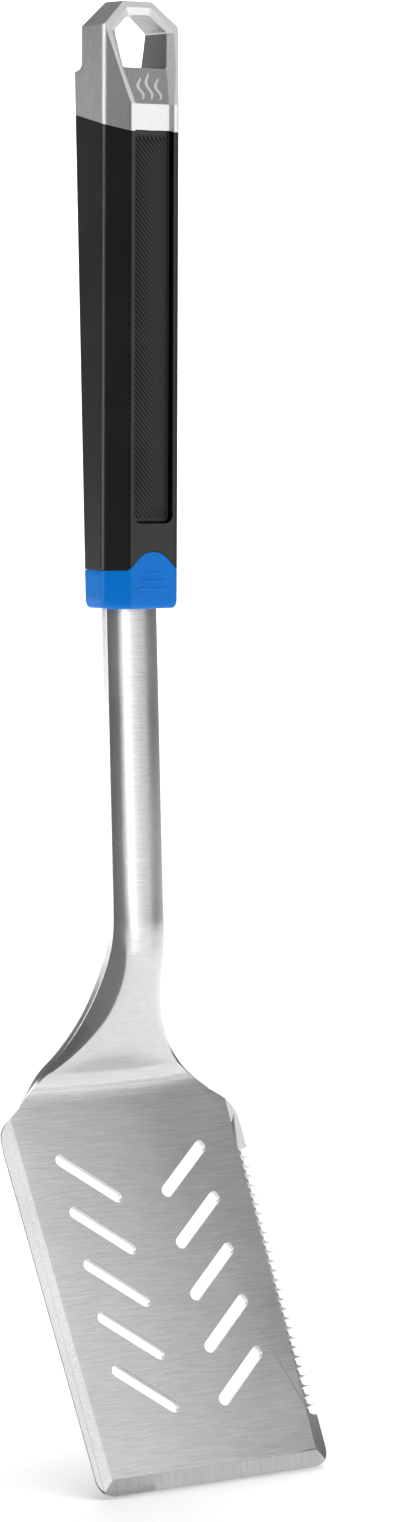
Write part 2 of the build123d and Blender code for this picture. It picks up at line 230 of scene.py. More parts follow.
def keep_flat(obj):
    """Shading normals that follow the largest face around each vertex."""
    mod = obj.modifiers.new("normals", "WEIGHTED_NORMAL")
    mod.mode, mod.weight, mod.keep_sharp = "FACE_AREA", 90, True
    apply_modifier(obj, mod)


def smooth_by_angle(obj, angle):
    """Smooth shading, with edges sharper than the angle kept crisp."""
    obj.data.shade_smooth()
    obj.data.set_sharp_from_angle(angle=math.radians(angle))


def join(objects, name):
    """One object from several, keeping their material slots."""
    target = objects[0]
    with bpy.context.temp_override(active_object=target, object=target, selected_objects=objects,
                                   selected_editable_objects=objects):
        bpy.ops.object.join()
    target.name = name
    return target


def corner_arc(before, corner, after, radius, steps):
    """Points that round one corner of a plane polyline."""
    p0, p1, p2 = Vector(before), Vector(corner), Vector(after)
    a, b = (p0 - p1).normalized(), (p2 - p1).normalized()
    half = a.angle(b) / 2
    reach = radius / math.tan(half)
    centre = p1 + (a + b).normalized() * (radius / math.sin(half))
    start, end = p1 + a * reach - centre, p1 + b * reach - centre
    turn = start.angle_signed(end)
    points = []
    for i in range(steps + 1):
        t = -turn * i / steps
        c, s = math.cos(t), math.sin(t)
        points.append((centre.x + start.x * c - start.y * s, centre.y + start.x * s + start.y * c))
    return points


def rounded(corners, steps=6):
    """Closed outline through (u, v, radius) corners; a radius of 0 leaves the corner sharp."""
    outline = []
    for i, (u, v, radius) in enumerate(corners):
        before, after = corners[i - 1][:2], corners[(i + 1) % len(corners)][:2]
        outline += corner_arc(before, (u, v), after, radius, steps) if radius else [(u, v)]
    return outline


def blend(rows, t):
    """Smooth values at t from rows (t, value, ...), which run downwards."""
    if t >= rows[0][0]:
        return rows[0][1:]
    for k in range(len(rows) - 1):
        if rows[k][0] >= t >= rows[k + 1][0]:
            break
    else:
        return rows[-1][1:]
    span = rows[k + 1][0] - rows[k][0]
    x = (t - rows[k][0]) / span

    def slope(i, c):
        i0, i1 = max(i - 1, 0), min(i + 1, len(rows) - 1)
        return (rows[i1][c] - rows[i0][c]) / (rows[i1][0] - rows[i0][0]) * span

    values = []
    for c in range(1, len(rows[0])):
        y0, y1, m0, m1 = rows[k][c], rows[k + 1][c], slope(k, c), slope(k + 1, c)
        values.append(y0 * (1 + 2 * x) * (1 - x) ** 2 + m0 * x * (1 - x) ** 2
                      + y1 * x * x * (3 - 2 * x) + m1 * x * x * (x - 1))
    return values


# ------------------------------------------------------------------ materials
class Nodes:
    """Short hand for building one node material."""

    def __init__(self, name):
        self.material = bpy.data.materials.new(name)
        self.material.use_nodes = True
        self.tree = self.material.node_tree
        self.shader = self.tree.nodes["Principled BSDF"]

    def add(self, kind, **values):
        node = self.tree.nodes.new(kind)
        for key, value in values.items():
            if key in node.inputs:
                node.inputs[key].default_value = value
            else:
                setattr(node, key, value)
        return node

    def link(self, output, target):
        self.tree.links.new(output, target)

    def object_coords(self, scale):
        coords = self.add("ShaderNodeTexCoord")
        mapping = self.add("ShaderNodeMapping", Scale=scale)
        self.link(coords.outputs["Object"], mapping.inputs["Vector"])
        return mapping.outputs["Vector"]

    def noise(self, vector, detail=3.0, rough=0.6):
        node = self.add("ShaderNodeTexNoise", Scale=1.0, Detail=detail, Roughness=rough)
        self.link(vector, node.inputs["Vector"])
        return node.outputs["Fac"]

    def spread(self, factor, low, high, start=0.3, end=0.7):
        node = self.add("ShaderNodeMapRange")
        for key, value in (("From Min", start), ("From Max", end), ("To Min", low), ("To Max", high)):
            node.inputs[key].default_value = value
        self.link(factor, node.inputs["Value"])
        return node.outputs["Result"]

    def mix(self, factor, a, b):
        node = self.add("ShaderNodeMix", data_type="RGBA")
        node.inputs["A"].default_value = (*a, 1)
        node.inputs["B"].default_value = (*b, 1)
        self.link(factor, node.inputs["Factor"])
        return node.outputs["Result"]

    def bump(self, factor, strength, distance):
        node = self.add("ShaderNodeBump", Strength=strength, Distance=distance)
        self.link(factor, node.inputs["Height"])
        self.link(node.outputs["Normal"], self.shader.inputs["Normal"])

    def colour(self, output):
        self.link(output, self.shader.inputs["Base Color"])

    def roughness(self, output):
        self.link(output, self.shader.inputs["Roughness"])


def steel(name, light, dark, rough, grain, bump):
    """Brushed metal: grain = noise scale per axis in 1/m, long streaks where it is small."""
    m = Nodes(name)
    m.shader.inputs["Metallic"].default_value = 1.0
    streak = m.noise(m.object_coords(grain), detail=4.0, rough=0.7)
    cloud = m.noise(m.object_coords((28, 28, 28)), detail=2.0)
    m.colour(m.mix(m.spread(streak, 0, 1), dark, light))
    m.roughness(m.spread(cloud, rough - 0.035, rough + 0.035))
    m.bump(streak, bump, 0.0002)
    return m.material


def plastic(name, light, dark, rough, grain, bump, specular=0.5):
    """Moulded or etched face: soft cloudy tone with a fine even texture, grain in 1/m."""
    m = Nodes(name)
    m.shader.inputs["Specular IOR Level"].default_value = specular
    fine = m.noise(m.object_coords((grain, grain, grain)), detail=2.0)
    cloud = m.noise(m.object_coords((35, 35, 35)), detail=3.0)
    m.colour(m.mix(m.spread(cloud, 0, 1), dark, light))
    m.roughness(m.spread(cloud, rough - 0.03, rough + 0.03))
    m.bump(fine, bump, 0.0001)
    return m.material


def matte(name, low, high, rough, size):
    """Dull studio card that mirrors nothing."""
    m = Nodes(name)
    cloud = m.noise(m.object_coords((size, size, size)))
    m.colour(m.mix(m.spread(cloud, 0, 1), low, high))
    m.shader.inputs["Roughness"].default_value = rough
    m.shader.inputs["Specular IOR Level"].default_value = 0.0
    return m.material


# ------------------------------------------------------------------ handle section
def rear_y(z):
    """Rear plane, which comes forward towards the collar."""
    return REAR_Y + REAR_TAPER * (z - REAR_Z)


def handle_corners(z, front_r):
    """(x, y, radius) corners of the faceted section at that level."""
    rear = rear_y(z)
    half = [(FRONT_W, FRONT_Y, front_r), (SIDE_W, SIDE_Y, SIDE_R), (SIDE_W, rear, REAR_R),
            (BACK_W, rear + BACK_STEP, BACK_R)]
    return half + [(-x, y, r) for x, y, r in reversed(half)]


def handle_outline(z, inset=0.0, front_r=FRONT_R):
    """Section outline with spare points across the front, where the collar's arch runs."""
    outline = rounded(handle_corners(z, front_r))
    first, last = outline[0], outline[-1]
    across = [(last[0] + (first[0] - last[0]) * i / ARCH_POINTS, FRONT_Y) for i in range(1, ARCH_POINTS)]
    outline = outline + across
    if not inset:
        return outline
    moved = []
    for i, (x, y) in enumerate(outline):
        x0, y0 = outline[i - 1]
        x1, y1 = outline[(i + 1) % len(outline)]
        dx, dy = x1 - x0, y1 - y0
        length = math.hypot(dx, dy)
        moved.append((x - dy / length * inset, y + dx / length * inset))
    return moved


def front_y(z):
    """Front plane: upright below the kink, leaning back above it."""
    return FRONT_Y + max(z - KINK_Z, 0.0) * (RING_TOP_Y - FRONT_Y) / (RING_TOP_Z - KINK_Z)


def cap_joint_z(y):
    """Level of the curved joint under the cap: a parabola through three points."""
    (y0, z0), (y1, z1), (y2, z2) = CAP_JOINT
    return (z0 * (y - y1) * (y - y2) / ((y0 - y1) * (y0 - y2))
            + z1 * (y - y0) * (y - y2) / ((y1 - y0) * (y1 - y2))
            + z2 * (y - y0) * (y - y1) / ((y2 - y0) * (y2 - y1)))


def collar_joint_z(x, y):
    """Level of the collar's upper joint, with the arch across its front."""
    if y > SIDE_Y or abs(x) > ARCH_HALF:
        return COLLAR_TOP
    return COLLAR_TOP + ARCH_RISE * 0.5 * (1 + math.cos(math.pi * (abs(x) / ARCH_HALF) ** ARCH_FULLNESS))


def shell_rings(top, bottom, rows, radius_top, radius_bottom, steps=3):
    """Rings from top(x, y) down to bottom(x, y), with the two end edges rounded."""
    base = handle_outline(0.0)

    def ring(share, lift, inset):
        points = []
        for i, (bx, by) in enumerate(base):
            high, low = top(bx, by) - radius_top, bottom(bx, by) + radius_bottom
            z = high + (low - high) * share + lift
            x, y = handle_outline(z, inset)[i]
            points.append((x, y, z))
        return points

    turns = [math.radians(90 * i / steps) for i in range(steps + 1)]
    rings = [ring(0.0, radius_top * math.cos(t), radius_top * (1 - math.sin(t))) for t in turns]
    rings += [ring(r / rows, 0.0, 0.0) for r in range(1, rows)]
    rings += [ring(1.0, -radius_bottom * math.cos(t), radius_bottom * (1 - math.sin(t)) * FOOT_SPREAD)
              for t in reversed(turns)]
    return rings


def xy(u, v, depth):
    """Place for a prism that runs along Z."""
    return (u, v, depth)


def xz(u, v, depth):
    """Place for a prism that runs along Y."""
    return (u, depth, v)


def yz(u, v, depth):
    """Place for a prism that runs along X."""
    return (depth, u, v)


def both_sides(half):
    """Closed (x, z) outline from its right half."""
    return list(half) + [(-x, z) for x, z in reversed(half)]


# ------------------------------------------------------------------ pieces
def front_lean():
    """Unit normal of the cap's leaning front, pointing into the metal."""
    return Vector((0, RING_TOP_Z - KINK_Z, FRONT_Y - RING_TOP_Y)).normalized()


def cap_blank():
    """Full section from the lower joint up, with the front, shoulders and top sliced off."""
    base = handle_outline(0.0, 0.0, CAP_FRONT_R)
    top_z = RING_TOP_Z + 4
    rings = []
    for share in (0.0, 0.5, 1.0):
        points = []
        for i, (_, by) in enumerate(base):
            z = (cap_joint_z(by) + JOINT_GAP) * (1 - share) + top_z * share
            x, y = handle_outline(z, 0.0, CAP_FRONT_R)[i]
            points.append((x, y, z))
        rings.append(points)
    cap = new_object("cast_cap", *loft(rings))
    slice_off(cap, (0, FRONT_Y, KINK_Z), -front_lean())
    for side in (-1, 1):
        slope = Vector((side * (RING_TOP_Z - RING_SIDE_Z), 0, SIDE_W - RING_TOP_W)).normalized()
        slice_off(cap, (side * RING_TOP_W, 0, RING_TOP_Z), slope)
    slice_off(cap, (0, 0, RING_TOP_Z), (0, 0, 1))
    return cap


def step_cutter():
    """Takes the metal away behind the eye, down to a hollow-rounded step."""
    step = [(EYE_BACK_Y, BEYOND)]
    for i in range(9):
        turn = math.radians(10 * i)
        step.append((EYE_BACK_Y + STEP_DEPTH * (1 - math.cos(turn)),
                     STEP_TOP_Z + (STEP_BOTTOM_Z - STEP_TOP_Z) * math.sin(turn)))
    step += [(EYE_BACK_Y + STEP_DEPTH, STEP_BOTTOM_Z), (BEYOND, STEP_BOTTOM_Z), (BEYOND, BEYOND)]
    return prism("step", step, yz, -BEYOND, BEYOND)


def panel_cutter():
    """Recess around the eye and down the front, with sloping walls."""
    rings = []
    for z, rim, floor, depth in PANEL:
        y = front_y(z)
        rings.append([(rim, -BEYOND, z), (rim, y, z), (floor, y + depth, z), (-floor, y + depth, z),
                      (-rim, y, z), (-rim, -BEYOND, z)])
    return new_object("panel", *loft(rings))


def mark_cap_painted_light(cap):
    """Painted highlight: a brighter material on the front rim, the recess's walls and its foot. Painted shade:
    a darker material inside the eye.
    """
    outward = -front_lean()
    for face in cap.data.polygons:
        x, y, z = face.center / MM
        normal = face.normal
        behind = y - front_y(z)
        rim = normal.y < -0.1 and (normal.dot(outward) > 0.97 and behind < 0.4 or z > EYE_FOOT_Z)
        wall = normal.x * x < 0 and abs(normal.x) > 0.3 and abs(x) > RECESS_HALF
        foot = normal.y < -0.99 and z < KINK_Z
        # painted highlight: faces that catch the light get the brighter rim material
        if behind < RECESS_DEPTH and (rim or wall or foot):
            face.material_index = CAST_RIM_HIGHLIGHT
        # painted shade: the walls inside the eye get the darker material
        elif abs(normal.y) < 0.1 and z > EYE_FOOT_Z and math.hypot(x, z) < EYE_REACH:
            face.material_index = EYE_WALL_SHADE


def make_cap(edge):
    """Cast cap: leaning front with a recess, hanging eye, rear step and the spigot in the handle."""
    cap = cap_blank()
    boolean(cap, step_cutter())
    boolean(cap, panel_cutter())
    eye = rounded([(x, z, EYE_R) for x, z in both_sides(EYE)], steps=10)
    boolean(cap, prism("eye", eye, xz, -BEYOND, BEYOND))
    spigot = rounded([(-TANG_W, TANG_FRONT, 1), (TANG_W, TANG_FRONT, 1), (TANG_W, SPIGOT_BACK, 1),
                      (-TANG_W, SPIGOT_BACK, 1)], 3)
    boolean(cap, prism("spigot", spigot, xy, SPIGOT_LOW, SPIGOT_TOP), "UNION")
    round_edges(cap, edge, 2, 12)
    mark_cap_painted_light(cap)
    return cap


def make_heat_mark():
    """Three wavy heat lines etched on the recess's leaning floor."""
    (z_top, _, _, d_top), (z_low, _, _, d_low) = PANEL[3], PANEL[4]
    z0, z1, steps = z_low + 1.3, z_top - 1.6, 28
    verts, faces = [], []
    for centre, reach in WAVES:
        base = len(verts)
        for i in range(steps + 1):
            t = i / steps
            z = z0 + (z1 - z0) * t * reach
            y = front_y(z) + d_low + (d_top - d_low) * (z - z_low) / (z_top - z_low)
            x = centre + math.sin(t * 2 * math.pi * WAVE_TURNS) * WAVE_SWAY
            half = WAVE_HALF * math.sin(math.pi * (0.08 + 0.84 * t)) ** 0.7
            verts += [(x + side * half, y + lift, z) for lift in (-0.03, 0.05) for side in (-1, 1)]
        for i in range(steps):
            a, b = base + 4 * i, base + 4 * (i + 1)
            faces += [(a + p, a + q, b + q, b + p) for p, q in ((0, 1), (1, 3), (3, 2), (2, 0))]
        last = base + 4 * steps
        faces += [(base, base + 1, base + 3, base + 2), (last + 1, last, last + 2, last + 3)]
    return new_object("heat_mark", verts, faces)


def tang_hole(back):
    """Corners of the hole that holds the tang, reaching back to that y."""
    half, front = TANG_W + FIT, TANG_FRONT - FIT
    return [(half, front), (half, back), (-half, back), (-half, front)]


def make_sleeve():
    """Handle moulding with the pocket for the insert and the tunnel for the tang."""
    rings = shell_rings(lambda x, y: cap_joint_z(y) - JOINT_GAP, lambda x, y: collar_joint_z(x, y) + JOINT_GAP,
                        12, 0.25, 0.25)
    sleeve = new_object("sleeve", *loft(rings))
    pocket = rounded([(INSERT_W, POCKET_TOP, 0), (INSERT_W, INSERT_BOTTOM, INSERT_R),
                      (-INSERT_W, INSERT_BOTTOM, INSERT_R), (-INSERT_W, POCKET_TOP, 0)], 8)
    boolean(sleeve, prism("pocket", pocket, xz, -BEYOND, INSERT_Y + INSERT_T + FIT))
    boolean(sleeve, prism("tunnel", tang_hole(SPIGOT_BACK + FIT), xy, -200.0, 0.0))
    round_edges(sleeve, 0.35, 3, 40)
    return sleeve


def make_ribs(pitch, height):
    """Slanting ribs over the field, each fading into the border at its two ends."""
    slope = math.tan(math.radians(RIB_ANGLE))
    field_w, base_y, count = FIELD_W - FIT, INSERT_Y + BORDER_DEPTH, len(RIB_PROFILE)
    verts, faces = [], []
    z = FIELD_TOP + slope * field_w
    while z > FIELD_BOTTOM - slope * field_w:
        x0 = max(-field_w, (z - FIELD_TOP) / slope)
        x1 = min(field_w, (z - FIELD_BOTTOM) / slope)
        if x1 - x0 > 2 * RIB_RAMP:
            base = len(verts)
            for x, full in ((x0, 0.25), (x0 + RIB_RAMP, 1.0), (x1 - RIB_RAMP, 1.0), (x1, 0.25)):
                verts += [(x, base_y - height * rise * full, z - slope * x + offset * pitch)
                          for offset, rise in RIB_PROFILE]
            for r in range(3):
                for i in range(count - 1):
                    a = base + r * count + i
                    faces.append((a, a + 1, a + count + 1, a + count))
        z -= pitch
    ribs = new_object("insert_ribs", verts, faces)
    smooth_by_angle(ribs, 60)
    return ribs


def make_insert(pitch, height):
    """Ribbed strip: a plate with a sloping border and a field of slanting ribs."""
    top, low, w = cap_joint_z(INSERT_Y) - JOINT_GAP, INSERT_BOTTOM + FIT, INSERT_W - FIT

    def outline(shrink, radius):
        return rounded([(w - shrink, top, 0), (w - shrink, low + shrink, radius),
                        (-w + shrink, low + shrink, radius), (-w + shrink, top, 0)], 8)

    border = w - FIELD_W
    rows = ((0.0, 2.4, INSERT_T), (0.0, 2.4, 0.75), (0.12, 2.3, BORDER_DEPTH), (border * 0.75, 1.9, 0.16),
            (border, 1.7, 0.22), (border + 0.15, 1.6, BORDER_DEPTH))
    rings = [[(x, INSERT_Y + depth, z) for x, z in outline(shrink, radius)] for shrink, radius, depth in rows]
    plate = new_object("insert_plate", *loft(rings))
    smooth_by_angle(plate, 35)
    return join([plate, make_ribs(pitch, height)], "ribbed_insert")


def make_collar():
    """Closed ring: the outer skin, then the hole for the tang, whose points are the skin's drawn in."""
    rings = shell_rings(lambda x, y: collar_joint_z(x, y) - JOINT_GAP, lambda x, y: COLLAR_BOTTOM, 6, 0.2, 2.6,
                        steps=6)
    (hole_x, hole_y0), (_, hole_y1) = tang_hole(TANG_BACK + FIT)[:2]
    for outer in (rings[-1], rings[0]):
        rings.append([(min(max(x, -hole_x), hole_x), min(max(y, hole_y0), hole_y1), z) for x, y, z in outer])
    rings.append(rings[0])
    ring = new_object("arched_collar", *loft(rings, close_ends=False), weld=0.002)
    smooth_by_angle(ring, 40)
    return ring


def pill(half, radius, steps):
    """Outline of a bar with round ends, as (u, v)."""
    outline = []
    for end, start in ((1, -90), (-1, 90)):
        for i in range(steps + 1):
            turn = math.radians(start + 180 * i / steps)
            outline.append((end * half + radius * math.cos(turn), radius * math.sin(turn)))
    return outline


def make_ridges():
    """Three plain raised bars on the collar's front."""
    bars = []
    for k, (half, z) in enumerate(RIDGES):
        rings = []
        for scale, lift in ((1.0, 0.06), (0.86, -0.16), (0.6, -0.26), (0.25, -0.3)):
            rings.append([(u, FRONT_Y + lift, z + v) for u, v in pill(half - RIDGE_R, RIDGE_R * scale, 10)])
        bar = new_object(f"ridge_{k}", *loft(rings))
        smooth_by_angle(bar, 50)
        bars.append(bar)
    return join(bars, "collar_ridges")


# ------------------------------------------------------------------ sheet
def along_line(a, b, steps, first, last):
    """Points first to last - 1 of a line from a to b that is cut into equal steps."""
    return [(a[0] + (b[0] - a[0]) * i / steps, a[1] + (b[1] - a[1]) * i / steps) for i in range(first, last)]


def sheet_path():
    """Stations of the front face at x = 0: (y, z, direction angle from straight down)."""
    tilt = math.radians(BLADE_TILT)
    shaft_slope, neck_slope = math.tan(math.radians(SHAFT_LEAN)), math.tan(math.radians(NECK_LEAN))
    top = (SHAFT_Y, COLLAR_BOTTOM - 0.05)
    bend = (SHAFT_Y - shaft_slope * (COLLAR_BOTTOM - BEND_Z), BEND_Z)
    z = (ROW0_Y - bend[0] - math.tan(tilt) * ROW0_Z - neck_slope * bend[1]) / (-math.tan(tilt) - neck_slope)
    low = (bend[0] + neck_slope * (bend[1] - z), z)
    end = (low[0] - HEAD_RUN * math.sin(tilt), low[1] - HEAD_RUN * math.cos(tilt))
    upper = corner_arc(top, bend, low, UPPER_BEND_R, 12)
    lower = corner_arc(bend, low, end, LOWER_BEND_R, 16)
    points = along_line(top, upper[0], 26, 0, 26) + upper
    points += along_line(upper[-1], lower[0], 14, 1, 14) + lower
    points += along_line(lower[-1], end, 10, 1, 11)
    stations = []
    for i, p in enumerate(points):
        a, b = points[max(i - 1, 0)], points[min(i + 1, len(points) - 1)]
        stations.append((p[0], p[1], math.atan2(-(b[0] - a[0]), -(b[1] - a[1]))))
    stations[0] = (*stations[0][:2], 0.0)
    stations[-1] = (*stations[-1][:2], tilt)
    return stations


def web_profile(half, fold, crown, drop, flange, radius, across=10, slope=8, turns=5):
    """Right half of the front, as (x, depth): crown, fold, steepening slope down to depth 0, rounded edge."""
    points = [(fold * i / across, crown * (i / across) ** 2 - crown - drop) for i in range(across + 1)]
    radius = radius if radius > 0.06 else 0.0
    steep = math.atan2(drop * (2 - SLOPE_START), half - fold)
    flat = half - radius * (1 - math.sin(steep))
    for i in range(1, slope + 1):
        t = i / slope
        points.append((fold + (flat - fold) * t, drop * (SLOPE_START * t + (1 - SLOPE_START) * t * t - 1)))
    deep = max(flange, radius * math.cos(steep) + 0.02)
    for i in range(1, turns + 1):
        if radius:
            turn = steep + (math.pi / 2 - steep) * i / turns
            points.append((flat + radius * (math.sin(turn) - math.sin(steep)),
                           radius * (math.cos(steep) - math.cos(turn))))
        else:
            points.append((half, deep * i / (turns + 1)))
    points.append((half, deep))
    return points


def sheet_section(half, fold, crown, drop, flange, radius):
    """Closed section: over the front from left to right, then back along the inside."""
    outer = web_profile(half, fold, crown, drop, flange, radius)
    inner_half = half - SHEET * min(max(flange - SHEET, 0.0) / 0.5, 1.0)
    inner = [(x * inner_half / half, min(d + SHEET, flange)) for x, d in outer[:-1]] + [(inner_half, flange)]
    front = [(-x, d) for x, d in reversed(outer)] + outer[1:]
    back = [(x, d) for x, d in reversed(inner)] + [(-x, d) for x, d in inner[1:]]
    return front + back


def blade_point(x, along, back):
    """Point on the tilted blade: along runs down it from the first slots, back runs into the sheet."""
    t = math.radians(BLADE_TILT)
    return (x, ROW0_Y - along * math.sin(t) + back * math.cos(t),
            ROW0_Z - along * math.cos(t) - back * math.sin(t))


def head_along():
    """Where the neck meets the blade, measured along the blade."""
    end_z = sheet_path()[-1][1]
    return (ROW0_Z - end_z) / math.cos(math.radians(BLADE_TILT))


def blade_outline(head_points):
    """Closed (x, along) outline: head, shoulders and rounded lower corners."""
    shoulder = [(39.4, -25.0), (42.2, -23.0), (44.4, -21.2), (46.4, -18.6), (47.2, -15.8),
                (BLADE_W_TOP, SHOULDER_END)]
    corner = []
    for step in range(13):
        turn = math.radians(7.5 * step)
        corner.append((BLADE_W_BOTTOM - CORNER_R * (1 - math.cos(turn)),
                       BLADE_END - CORNER_R * (1 - math.sin(turn))))
    right = shoulder + corner
    return head_points + right + [(-x, a) for x, a in reversed(right)]


def ground_wedge(start, end):
    """Prism that grinds the front face to a thin edge outside the line from start to end."""
    (x0, a0), (x1, a1) = start, end
    length = math.hypot(x1 - x0, a1 - a0)
    ux, ua = (x1 - x0) / length, (a1 - a0) / length
    nx, na = -ua, ux
    section = ((0.0, 0.0), (3 * BEVEL_W, 3 * (SHEET - EDGE_T)), (3 * BEVEL_W, -5.0), (0.0, -5.0))
    rings = []
    for run in (-OVERRUN, length + OVERRUN):
        rings.append([blade_point(x0 + ux * run + nx * out, a0 + ua * run + na * out, depth)
                      for out, depth in section])
    return new_object("wedge", *loft(rings))


def slot_cutter(cx, ca, angle):
    """Lump that cuts one slot, centred on (cx, ca) and turned by the angle."""
    c, s = math.cos(math.radians(angle)), math.sin(math.radians(angle))
    ends = pill((SLOT_LEN - SLOT_W) / 2, SLOT_W / 2, 12)
    outline = [(cx + u * c - v * s, ca + u * s + v * c) for u, v in ends]
    return loft([[blade_point(x, a, d) for x, a in outline] for d in (-3.0, 5.0)])


def bite_cutter(cx, ca):
    """Lump of the tilted round cutter that leaves one scallop in the right edge."""
    tilt = math.radians(BITE_TILT)
    rings = []
    for run in (-9.0, 9.0):
        ring = []
        for i in range(24):
            turn = math.radians(15 * i)
            u, v = BITE_R * math.cos(turn), BITE_R * math.sin(turn)
            ring.append(blade_point(cx + run * math.cos(tilt) - u * math.sin(tilt), ca + v,
                                    run * math.sin(tilt) + u * math.cos(tilt)))
        rings.append(ring)
    return loft(rings)


def merged(name, parts):
    """One cutter object from several (verts, faces) lumps that don't touch."""
    verts, faces = [], []
    for part_verts, part_faces in parts:
        base = len(verts)
        verts += part_verts
        faces += [tuple(i + base for i in face) for face in part_faces]
    return new_object(name, verts, faces)


def make_blade(head_front):
    """Slotted plate with three ground edges and the serration; its head has the neck's points."""
    head = head_along()
    outline = blade_outline([(x, head) for x in head_front])
    plate = new_object("blade_plate", *loft([[blade_point(x, a, d) for x, a in outline] for d in (0.0, SHEET)]))
    top, low, bottom = BLADE_W_TOP - BEVEL_W, BLADE_W_BOTTOM - BEVEL_W, BLADE_END - BEVEL_W
    boolean(plate, ground_wedge((low, bottom), (top, SHOULDER_END)))
    boolean(plate, ground_wedge((-top, SHOULDER_END), (-low, bottom)))
    boolean(plate, ground_wedge((-low, bottom), (low, bottom)))
    slots = []
    for row in range(SLOT_ROWS):
        for side in (-1, 1):
            slots.append(slot_cutter(side * SLOT_X, row * SLOT_PITCH, -side * SLOT_ANGLE))
    boolean(plate, merged("slots", slots))
    for parity in (0, 1):
        bites = []
        for i in range(parity, BITE_COUNT, 2):
            along = BITE_FIRST + i * BITE_PITCH
            share = (along - SHOULDER_END) / (BLADE_END - SHOULDER_END)
            edge = BLADE_W_TOP + (BLADE_W_BOTTOM - BLADE_W_TOP) * share
            bites.append(bite_cutter(edge - BEVEL_W / 2, along))
        boolean(plate, merged("bites", bites))
    return plate


def weld_sheet(obj, head):
    """Opens the wall between neck and plate, merges their rims and marks the edges to round."""
    bm = bmesh.new()
    bm.from_mesh(obj.data)
    t = math.radians(BLADE_TILT)
    down = Vector((0, -math.sin(t), -math.cos(t)))
    origin = Vector((0, ROW0_Y, ROW0_Z)) * MM

    def on_head(face):
        return all(abs((v.co - origin).dot(down) - head * MM) < 2e-6 for v in face.verts)

    bmesh.ops.delete(bm, geom=[f for f in bm.faces if on_head(f)], context="FACES")
    bmesh.ops.remove_doubles(bm, verts=bm.verts, dist=5e-6)
    bmesh.ops.recalc_face_normals(bm, faces=bm.faces)
    weight = bm.edges.layers.float.new("bevel_weight_edge")
    for edge in bm.edges:
        if len(edge.link_faces) != 2:
            continue
        flats = min(face.calc_area() for face in edge.link_faces) > 12 * MM * MM
        if edge.calc_face_angle(0.0) < math.radians(4 if flats else 30):
            continue
        middle = (edge.verts[0].co + edge.verts[1].co) / 2
        along = (middle - origin).dot(down) / MM
        if middle.x > (BLADE_W_BOTTOM - BEVEL_W - 1.5) * MM and abs(along - TEETH_MIDDLE) < TEETH_REACH:
            edge.smooth = False
        else:
            edge[weight] = 1.0
    bm.to_mesh(obj.data)
    bm.free()


def shaft_skin():
    """Channel shaft and neck as one skin, from the collar to the blade's head, and its last ring."""
    stations = sheet_path()
    rings = []
    for i, (y, z, angle) in enumerate(stations):
        values = SHEET_ROWS[-1][1:] if i == len(stations) - 1 else blend(SHEET_ROWS, z)
        back_y, back_z = math.cos(angle), -math.sin(angle)
        rings.append([(x, y + d * back_y, z + d * back_z) for x, d in sheet_section(*values)])
    verts, faces = loft(rings, close_ends=False)
    faces.append(tuple(range(len(rings[0]))))
    return new_object("shaft_skin", verts, faces), rings[-1]


def make_tang():
    """Channel that the handle hides."""
    outline = [(-TANG_W, TANG_BACK), (-TANG_W, TANG_FRONT), (TANG_W, TANG_FRONT), (TANG_W, TANG_BACK),
               (TANG_W - SHEET, TANG_BACK), (TANG_W - SHEET, TANG_FRONT + SHEET),
               (-TANG_W + SHEET, TANG_FRONT + SHEET), (-TANG_W + SHEET, TANG_BACK)]
    tang = prism("tang", outline, xy, TANG_TOP, COLLAR_BOTTOM - 1)
    smooth_by_angle(tang, 28)
    return tang


def mark_sheet_grain_and_shade(sheet):
    """Lengthwise grain on the sides; cross grain on the ground foot of the blade, with a darker base colour
    that is painted shade.
    """
    tilt = math.radians(BLADE_TILT)
    plate_normal = Vector((0, -math.cos(tilt), math.sin(tilt)))
    for face in sheet.data.polygons:
        facing = face.normal.dot(plate_normal)
        if abs(face.normal.x) > 0.75:
            face.material_index = SHEET_SIDE
        # the foot's cross grain is real; its darker base colour is painted shade
        elif 0.5 < facing < 0.997 and abs(face.normal.x) < 0.05 and face.center.z < FOOT_Z * MM:
            face.material_index = SHEET_FOOT_GRAIN_AND_SHADE


def make_sheet():
    """Blade, neck, shaft and tang in one formed sheet."""
    shaft, last_ring = shaft_skin()
    head_front = sorted({round(x, 5) for x, _, _ in last_ring})
    sheet = join([shaft, make_blade(head_front)], "formed_sheet")
    weld_sheet(sheet, head_along())
    sheet.data.shade_smooth()
    edges = sheet.modifiers.new("edges", "BEVEL")
    edges.width, edges.segments, edges.limit_method = 0.18 * MM, 2, "WEIGHT"
    edges.use_clamp_overlap = False
    apply_modifier(sheet, edges)
    keep_flat(sheet)
    sheet = join([sheet, make_tang()], "formed_sheet")
    mark_sheet_grain_and_shade(sheet)
    return sheet


# ------------------------------------------------------------------ settings and operators
class SpatulaSettings(bpy.types.PropertyGroup):
    """Values a user may change before the pieces are built"""

    cap_edge: bpy.props.FloatProperty(
        name="Cap edge radius", description="Rounding of the cast cap's edges, in millimetres", default=0.35,
        min=0.05, max=1.0)
    rib_pitch: bpy.props.FloatProperty(
        name="Rib pitch", description="Vertical distance between grip ribs, in millimetres", default=1.7,
        min=0.8, max=4.0)
    rib_height: bpy.props.FloatProperty(
        name="Rib height", description="Height of the grip ribs, in millimetres", default=0.5, min=0.1, max=0.6)
    exposure: bpy.props.FloatProperty(
        name="Light level", description="Factor on every studio light", default=1.0, min=0.1, max=4.0)


def settings():
    """The scene's spatula settings."""
    return bpy.context.scene.spatula


def finish_piece(obj, materials, nodes):
    """Materials, body and the CAD nodes that the piece stands for."""
    for material in materials:
        obj.data.materials.append(material)
    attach(obj, "root")
    if nodes:
        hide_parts(*nodes)


